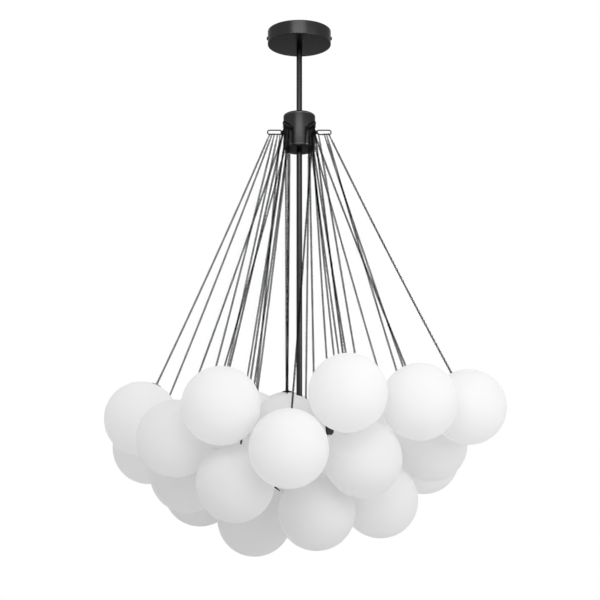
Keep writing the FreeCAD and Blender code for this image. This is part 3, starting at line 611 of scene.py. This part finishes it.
def lamp_glass(light, dark):
    """The satin glass of a small lamp."""
    finish = Finish("satin_lamp")
    grain = finish.noise(1800, 2)
    return finish.surface(
        Base_Color=finish.mix(grain, dark, light),
        Roughness=0.3 + 0.1 * grain, Subsurface_Weight=0.4, Subsurface_Radius=(1, 1, 1),
        Subsurface_Scale=0.004, Normal=finish.bump(grain, 0.00003, 0.4))


MADE = {}


def material(name):
    """A material of this file by its name, made once."""
    if name in MADE:
        return MADE[name]
    scene = bpy.context.scene
    metal, fitting = scene.chandelier_metal, scene.chandelier_fitting
    recipes = {
        "frosted_white": lambda: opal_glass(scene.chandelier_glass),
        "satin_black": lambda: blackened(
            "satin_black", metal.black_worn, metal.black, metal.gloss, 0.00012, 0.6),
        # The drum's top and bottom edges get a painted highlight: a lighter colour in thin bands
        "drum_black": lambda: blackened(
            "drum_black", metal.black_worn, metal.black, metal.gloss, 0.00012, 0.5,
            [corner.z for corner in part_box("hub_body")], metal.edge_highlight_colour),
        "hook_black": lambda: blackened(
            "hook_black", metal.chain_worn, metal.chain_black, metal.gloss, 0.00005, 0.3),
        "chain_black": lambda: blackened(
            "chain_black", metal.chain_worn, metal.chain_black, 0.5, 0.00005, 0.2),
        "zinc_plate": lambda: plated("zinc_plate", metal.zinc, 0.36),
        "turned_brass": lambda: plated("turned_brass", metal.brass, 0.3),
        "pale_plastic": lambda: moulded("pale_plastic", fitting.terminal, 0.5),
        "grey_sheath": lambda: moulded("grey_sheath", fitting.sheath, 0.45),
        "black_plastic": lambda: moulded("black_plastic", fitting.holder, 0.6, 1100),
        "satin_lamp": lambda: lamp_glass(fitting.lamp, fitting.lamp_shade),
    }
    MADE[name] = recipes[name]()
    return MADE[name]


CAD_FINISHES = {
    "black_metal": "satin_black", "opal_glass": "frosted_white", "zinc_steel": "zinc_plate",
    "brass": "turned_brass", "terminal_plastic": "pale_plastic", "cable_sheath": "grey_sheath",
    "lampholder_black": "black_plastic", "lamp_glass": "satin_lamp",
}


# Operators, one for each group of pieces

class FinishSolids(bpy.types.Operator):
    """Gives every solid of the frame the finish of its material slot"""
    bl_idname = "chandelier.finish_solids"
    bl_label = "Finish the solids"

    def execute(self, context):
        for row in frame["record"]["subparts"]:
            thing = frame["nodes"][row["node"]]
            thing.data.materials.clear()
            thing.data.materials.append(material(CAD_FINISHES[row["material_slot"]]))
        return {"FINISHED"}


def globe_profile(radius, wall, neck, rows):
    """A hollow sphere with a rounded lip at its neck: outside up, over the lip, inside down.

    The lip is a half circle round the middle of the wall, less a step at either end.
    """
    inside = radius - wall
    rim = neck + wall / 2
    outer = arc((0, 0), radius, -90, math.degrees(math.acos(rim / radius)), rows)
    inner = arc((0, 0), inside, math.degrees(math.acos(rim / inside)), -90, rows // 2)
    lip = arc((rim, (outer[-1][1] + inner[0][1]) / 2), wall / 2, 101, 259, 7)
    return np.concatenate([outer, lip, inner])


def find_globes():
    """The globe nodes' solids: node name, middle and radius of each."""
    found = []
    for node in sorted(frame["nodes"]):
        if "globe" in node:
            found += [(node, *globe_middle(part)) for part in loose_parts(node)]
    return found


class State:
    """What one operator works out and the others use."""
    globes = []
    hangers = []


class FindHangers(bpy.types.Operator):
    """Reads from the frame where each globe, ring and chain is"""
    bl_idname = "chandelier.find_hangers"
    bl_label = "Find the hangers"

    def execute(self, context):
        State.globes = find_globes()
        middles = [middle for _, middle, _ in State.globes]
        State.hangers = find_hangers(["inner_chains"], "frame", middles)
        for node in sorted(frame["nodes"]):
            if node.startswith("rim_hanger"):
                body = node.replace("hanger_", "")
                State.hangers += find_hangers([node], body, middles)
        return {"FINISHED"}


def hanger_of(middle):
    """The hanger that a globe hangs on."""
    return min(State.hangers, key=lambda hanger: np.linalg.norm(hanger.globe - middle))


class MakeGlobes(bpy.types.Operator):
    """Blown glass globes, each with its neck towards its chain"""
    bl_idname = "chandelier.make_globes"
    bl_label = "Glass globes"

    def execute(self, context):
        glass = context.scene.chandelier_glass
        shapes = {}
        for node, middle, radius in State.globes:
            hanger = hanger_of(middle)
            profile = globe_profile(radius, glass.wall, glass.neck, glass.rows)
            shape = shapes.setdefault(node, Shape())
            blown = lathe(profile, glass.columns, middle, hanger.up, hanger.along)
            shape.add(blown, wrap_columns=True)
        for node, shape in shapes.items():
            body = node.replace("globe_", "") if node.startswith("rim") else "frame"
            shape.piece(node + "_glass", "frosted_white", body, "opal_glass", [node])
        return {"FINISHED"}


def cap_profile(radius, sheet, seat, plug, depth, post, bar_level):
    """A pressed cap: post, plug in the neck, flat rim with a rounded edge, low dome, small boss.

    The dome is a slice of a sphere of 2.2 times the cap's radius, and the boss has 0.26 of it.
    """
    edge = sheet / 2
    foot = seat - depth
    rim = arc((radius - edge, seat + edge), edge, -90, 80, 6)
    dome = arc((0, 0), radius * 2.2, 68, 80, 5)
    dome[:, 1] += seat + sheet - dome[0][1]
    boss, top = radius * 0.26, dome[-1][1]
    return np.concatenate([
        [(0, bar_level), (post, bar_level), (post, foot), (plug - edge, foot),
         (plug, foot + edge), (plug, seat)],
        rim, dome[1:],
        [(boss, top + sheet * 0.1), (boss * 0.8, top + sheet * 0.7), (0, top + sheet * 0.8)]])


def bar_profile(length, radius):
    """A straight wire about its middle, with its ends' edges taken off."""
    half, edge = length / 2, radius / 5
    return [(0, -half), (radius - edge, -half), (radius, edge - half), (radius, half - edge),
            (radius - edge, half), (0, half)]


def chain_links(hanger, chain, ring_reach, eye_height):
    """All links of one chain as a stack of grids.

    An odd number of links reaches from the ring's wire to the eye's wire. Link k lies k pitches
    down the chain, turned by k quarter turns, by its share of a slow twist of whole half turns, and
    to and fro by the sway, in 3 to 7 half waves. The first links grow to full size, so that chains
    clear each other at the hook. Links stay apart by twice the slack, so that each is a closed
    shell. At the share t of its length the chain sags by 4 s t (1 - t), downwards and square to its
    run, and s follows its tilt and length.
    """
    slack = 0.00002
    first_wire = chain.wire * chain.first
    start = hanger.ring - hanger.up * (ring_reach - (chain.ring_wire + first_wire) / 2)
    end = hanger.globe + hanger.up * (eye_height - (chain.eye_wire + chain.wire) / 2)
    length = np.linalg.norm(start - end)
    count = 2 * round((length / chain.pitch - 1) / 2) + 1
    pitch = (length - (first_wire + chain.wire) / 2) / count
    down = unit(end - start)
    place = np.arange(count)
    size = np.minimum(chain.first + place * chain.growth, 1)
    wire, width = chain.wire * size, chain.width * size
    share = place / (count - 1)
    sway = chain.sway * np.sin(math.pi * share * (3 + count % 5))
    angle = (place / 4 + round(length / chain.twist) / 2 * share) * TURN + sway
    across = np.cos(angle)[:, None] * hanger.along + np.sin(angle)[:, None] * hanger.side
    flat = stadium((pitch + wire) / 2 - slack, (width - wire) / 2, 5)
    middles = start + down * ((pitch + first_wire) / 2 + place * pitch)[:, None]
    paths = in_plane(flat, middles[:, None], down, across[:, None])
    links = wire_loop(paths, np.cross(down, across)[:, None], wire / 2, 4)
    slope = unit(down * down[2] - UP)
    tilt = math.hypot(down[0], down[1])
    share = np.clip((links - start) @ down / length, 0, 1)
    return links + slope * (4 * chain.sag * tilt * length * share * (1 - share))[..., None]


def ring_radius(chain):
    """Radius of a ring to its wire's middle, from the first hanger of the frame."""
    rings, _ = sort_parts(loose_parts("rim_hanger_01"))
    return (min(spread(ring)[2][0] for ring in rings) - chain.ring_wire) / 2


def hanging_parts(shape, hanger, radius, ring):
    """Ring, chain, cap with its eye, and the spring bar inside the glass, added to a shape.

    radius is the globe's, and ring is the ring's, to its wire's middle.
    """
    chain = bpy.context.scene.chandelier_chain
    glass = bpy.context.scene.chandelier_glass
    neck_play, bar_play = 0.0004, 0.0002
    seat = math.sqrt(radius ** 2 - glass.neck ** 2) + PLAY
    eye_height = seat + chain.cap_sheet + chain.eye
    eye_middle = hanger.globe + hanger.up * eye_height
    for size, middle, wire in ((ring, hanger.ring, chain.ring_wire),
                               (chain.eye, eye_middle, chain.eye_wire)):
        path = in_plane(circle(size, 24), middle, hanger.side, hanger.up)
        shape.add(wire_loop(path, hanger.along, wire / 2, 8), True, True)
    under_glass = math.sqrt((radius - glass.wall) ** 2 - (chain.bar / 2) ** 2)
    bar_level = under_glass - chain.bar_wire / 2 - bar_play
    profile = cap_profile(chain.cap, chain.cap_sheet, seat, glass.neck - neck_play, chain.plug,
                          chain.bar_wire, bar_level)
    shape.add(lathe(profile, 32, hanger.globe, hanger.up, hanger.along), wrap_columns=True)
    bar = bar_profile(chain.bar, chain.bar_wire / 2)
    bar_middle = hanger.globe + hanger.up * bar_level
    shape.add(lathe(bar, 12, bar_middle, hanger.side, hanger.along), wrap_columns=True)
    shape.add(chain_links(hanger, chain, ring, eye_height + chain.eye), True, True)


class MakeHangers(bpy.types.Operator):
    """Rings, link chains and globe caps: one piece for each rim globe, and two for the others"""
    bl_idname = "chandelier.make_hangers"
    bl_label = "Chains, rings and caps"

    def execute(self, context):
        radius = State.globes[0][2]
        ring = ring_radius(context.scene.chandelier_chain)
        fixed = [hanger for hanger in State.hangers if hanger.body == "frame"]
        half = len(fixed) // 2
        inner = ["inner_chains", "inner_caps"]
        groups = [("inner_chains_a", "frame", fixed[:half], inner),
                  ("inner_chains_b", "frame", fixed[half:], inner)]
        for hanger in State.hangers:
            if hanger.body != "frame":
                number = hanger.body.split("_")[1]
                node = "rim_hanger_" + number
                groups.append(("rim_chain_" + number, hanger.body, [hanger], [node]))
        for name, body, hangers, nodes in groups:
            shape = Shape()
            for hanger in hangers:
                hanging_parts(shape, hanger, radius, ring)
            shape.piece(name, "chain_black", body, "black_metal", nodes)
        return {"FINISHED"}


def turned(name, profile, finish, node, columns):
    """A black piece turned round the stem's axis, in place of a node."""
    shape = Shape().add(lathe(profile, columns), wrap_columns=True)
    shape.piece(name, finish, "frame", "black_metal", [node])


def ring_section(inner, outer, low, high, edge):
    """A closed section between two radii and two heights, with rounded outer edges."""
    return np.concatenate([
        [(inner, low)], arc((outer - edge, low + edge), edge, -90, 0, 6),
        arc((outer - edge, high - edge), edge, 0, 90, 6), [(inner, high), (inner, low)]])


class MakeCanopy(bpy.types.Operator):
    """The ceiling cup, with a rounded lower edge"""
    bl_idname = "chandelier.make_canopy"
    bl_label = "Canopy"

    def execute(self, context):
        sizes = context.scene.chandelier_turned
        wall, edge, lip, stem_gap = sizes.canopy_wall, sizes.canopy_edge, 0.0004, 0.0003
        low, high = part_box("canopy_cup")
        radius, foot = high.x, low.z
        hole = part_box("stem_tube")[1].x + stem_gap
        corner = (radius - edge, foot + edge)
        profile = np.concatenate([
            [(hole, foot + wall), (hole, foot + lip / 2), (hole + lip / 2, foot)],
            arc(corner, edge, -90, 0, 9),
            [(radius, -lip), (radius - lip, 0), (radius - wall, 0)],
            arc(corner, edge - wall, 0, -90, 5), [(hole, foot + wall)]])
        turned("canopy_shell", profile, "satin_black", "canopy_cup", 128)
        return {"FINISHED"}


class MakeStem(bpy.types.Operator):
    """The straight tube"""
    bl_idname = "chandelier.make_stem"
    bl_label = "Stem"

    def execute(self, context):
        sizes = context.scene.chandelier_turned
        low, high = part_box("stem_tube")
        profile = ring_section(high.x - sizes.stem_wall, high.x, low.z, high.z, sizes.edge)
        turned("stem", profile, "satin_black", "stem_tube", 48)
        return {"FINISHED"}


class MakeDrum(bpy.types.Operator):
    """The drum that carries the hooks: a tube between two domed ends that sit in it"""
    bl_idname = "chandelier.make_drum"
    bl_label = "Drum"

    def execute(self, context):
        sizes = context.scene.chandelier_turned
        edge, spigot, lip, straight = sizes.edge, sizes.spigot, 0.0002, 0.0005
        body_low, body_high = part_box("hub_body")
        radius, bore = body_high.x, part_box("stem_tube")[1].x + PLAY
        wall = ring_section(radius - sizes.drum_wall, radius, body_low.z, body_high.z, edge)
        turned("drum_tube", wall, "drum_black", "hub_body", 96)
        inner = radius - sizes.drum_wall - 2 * PLAY
        for node, sign in (("hub_top_cap", 1), ("hub_bottom_cap", -1)):
            low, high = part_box(node)
            joint, crown = (body_high.z, high.z) if sign > 0 else (body_low.z, low.z)
            rise = abs(crown - joint)
            curve = arc((0, 0), 1, 0, 90, 14) * (sizes.dome, rise - straight)
            profile = np.concatenate([
                [(bore, -spigot), (inner, -spigot), (inner, 0), (radius - edge, 0)],
                arc((radius - edge, edge), edge, -90, 0, 4),
                curve + (radius - sizes.dome, straight),
                [(bore + lip, rise), (bore, rise - lip), (bore, -spigot)]])
            profile[:, 1] = joint + sign * profile[:, 1]
            turned(node + "_turned", profile, "drum_black", node, 96)
        return {"FINISHED"}


def neck_profile(start, shank, drum, neck, wire):
    """A hook's shank from its start to the drum, and the neck that tapers from the drum outwards.

    Past its rounded edge the neck has the radii of the taper at the steps out from the drum.
    """
    edge = 0.0004
    steps = np.array([0.0025, 0.0045, 0.0056, 0.0058])
    taper = np.array([neck * 0.86, neck * 0.74, wire * 1.2, 0])
    return np.concatenate([
        [(0, start), (shank, start), (shank, drum), (neck - edge * 0.75, drum)],
        arc((neck - edge, drum + 2 * edge), edge, -60, 60, 4),
        np.stack([taper, drum + steps], axis=-1)])


class MakeHooks(bpy.types.Operator):
    """Six wire loops on edge, each with a threaded shank and a neck at the drum"""
    bl_idname = "chandelier.make_hooks"
    bl_label = "Hooks"

    def execute(self, context):
        share = context.scene.chandelier_turned.neck
        shape = Shape()
        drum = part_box("hub_body")[1].x
        loop_start, bend = drum + 0.0015, 0.003
        for part in loose_parts("hook_loops"):
            heading = unit(part.mean(axis=0) * (1, 1, 0))
            side = np.cross(heading, UP)
            out = part @ heading
            wire = np.ptp(part[out > out.max() - bend] @ side) / 2
            shank = np.ptp(part[out < drum] @ side) / 2
            low, high = part[:, 2].min(), part[:, 2].max()
            height, level = high - low, UP * (low + high) / 2
            half = (out.max() - loop_start) / 2 - wire
            middle = heading * (loop_start + wire + half) + level
            path = in_plane(stadium(half, height / 2 - wire, 13), middle, heading, UP)
            shape.add(wire_loop(path, side, wire, 12), True, True)
            profile = neck_profile(out.min(), shank, drum, height * share, wire)
            shape.add(lathe(profile, 20, level, heading, side), wrap_columns=True)
        shape.piece("wire_hooks", "hook_black", "frame", "black_metal", ["hook_loops"])
        return {"FINISHED"}


class MakeStage(bpy.types.Operator):
    """Pale floor, soft lamps, white surroundings and the camera"""
    bl_idname = "chandelier.make_stage"
    bl_label = "Stage"

    def execute(self, context):
        stage = context.scene.chandelier_stage
        self.floor(stage)
        self.world(stage)
        self.lamps()
        self.camera(stage)
        context.scene.view_settings.view_transform = "Standard"
        return {"FINISHED"}

    def floor(self, stage):
        """A wide pale disc, clear from below, to which the camera's rays add white."""
        finish = Finish("floor")
        shade = finish.node("ShaderNodeBsdfDiffuse", {}, {"Color": (*stage.floor_colour, 1)})
        seen = finish.node("ShaderNodeLightPath", {}, {}, "Is Camera Ray")
        white = finish.node("ShaderNodeEmission", {}, {"Strength": seen * stage.floor_white})
        shade = finish.node("ShaderNodeAddShader", {}, {0: shade, 1: white})
        clear = finish.node("ShaderNodeBsdfTransparent", {}, {})
        below = finish.node("ShaderNodeNewGeometry", {}, {}, "Backfacing")
        finish.end(finish.node("ShaderNodeMixShader", {}, {0: below, 1: shade, 2: clear}))
        points = lathe([(radius, stage.floor) for radius in FLOOR_RADII], 64)
        mesh = bpy.data.meshes.new("floor")
        mesh.from_pydata(points.reshape(-1, 3), [], quads(len(FLOOR_RADII), 64, False, True))
        floor = bpy.data.objects.new("floor", mesh)
        bpy.context.scene.collection.objects.link(floor)
        floor.data.materials.append(finish.material)

    def world(self, stage):
        """White that the camera, gloss and glass see, and that lights at the ambient level."""
        world = bpy.data.worlds.new("surroundings")
        bpy.context.scene.world = world
        shader = Shader(world)
        seen = sum(shader.node("ShaderNodeLightPath", {}, {}, "Is " + kind + " Ray")
                   for kind in ("Camera", "Glossy", "Transmission"))
        strength = shader.node(
            "ShaderNodeMapRange", {}, {"Value": seen, "To Min": stage.ambient, "To Max": 1.0})
        background = shader.node(
            "ShaderNodeBackground", {}, {"Color": (1, 1, 1, 1), "Strength": strength})
        shader.node("ShaderNodeOutputWorld", {}, {"Surface": background}, None)

    def lamps(self):
        """The soft lamps, each turned so that it faces their aim."""
        for name, place, width, height, power in LAMPS:
            lamp = bpy.data.lights.new(name, "AREA")
            lamp.shape = "RECTANGLE"
            lamp.size, lamp.size_y = width, height
            lamp.energy = power
            thing = bpy.data.objects.new(name, lamp)
            bpy.context.scene.collection.objects.link(thing)
            thing.location = place
            x, y, z = np.asarray(place) - LAMP_AIM
            tilt, turn = math.atan2(math.hypot(x, y), z), math.atan2(y, x) + math.pi / 2
            thing.rotation_euler = (tilt, 0, turn)

    def camera(self, stage):
        """A camera below the drum's level that looks up, shifted so that the stem is in place."""
        data = bpy.data.cameras.new("camera")
        data.sensor_width = SENSOR_WIDTH
        data.lens = stage.focal_pixels / IMAGE_SIZE * data.sensor_width
        data.shift_x = (IMAGE_SIZE / 2 - stage.axis_pixel) / IMAGE_SIZE
        data.clip_end = VIEW_DEPTH
        camera = bpy.data.objects.new("camera", data)
        bpy.context.scene.collection.objects.link(camera)
        camera.location = (0, -stage.distance * math.cos(stage.pitch),
                           stage.aim - stage.distance * math.sin(stage.pitch))
        camera.rotation_euler = (math.pi / 2 + stage.pitch, 0, 0)
        bpy.context.scene.camera = camera


MAKERS = (FinishSolids, FindHangers, MakeGlobes, MakeHangers, MakeCanopy, MakeStem, MakeDrum,
          MakeHooks, MakeStage)
SETTINGS = (("chandelier_glass", GlassSettings), ("chandelier_chain", ChainSettings),
            ("chandelier_turned", TurnedSettings), ("chandelier_metal", MetalSettings),
            ("chandelier_fitting", FittingSettings), ("chandelier_stage", StageSettings))


class ChandelierPanel(bpy.types.Panel):
    """Lists the makers and the settings in the sidebar"""
    bl_idname = "VIEW3D_PT_chandelier"
    bl_label = "Globe chandelier"
    bl_space_type = "VIEW_3D"
    bl_region_type = "UI"
    bl_category = "Chandelier"

    def draw(self, context):
        for maker in MAKERS:
            self.layout.operator(maker.bl_idname)
        for name, kind in SETTINGS:
            box = self.layout.box()
            for setting in kind.__annotations__:
                box.prop(getattr(context.scene, name), setting)


CLASSES = [kind for _, kind in SETTINGS] + list(MAKERS) + [ChandelierPanel]


def register():
    for kind in CLASSES:
        bpy.utils.register_class(kind)
    for name, kind in SETTINGS:
        setattr(bpy.types.Scene, name, bpy.props.PointerProperty(type=kind))


def unregister():
    for name, _ in SETTINGS:
        delattr(bpy.types.Scene, name)
    for kind in reversed(CLASSES):
        bpy.utils.unregister_class(kind)


def main():
    register()
    for maker in MAKERS:
        group, name = maker.bl_idname.split(".")
        getattr(getattr(bpy.ops, group), name)()


if __name__ == "__main__":
    main()
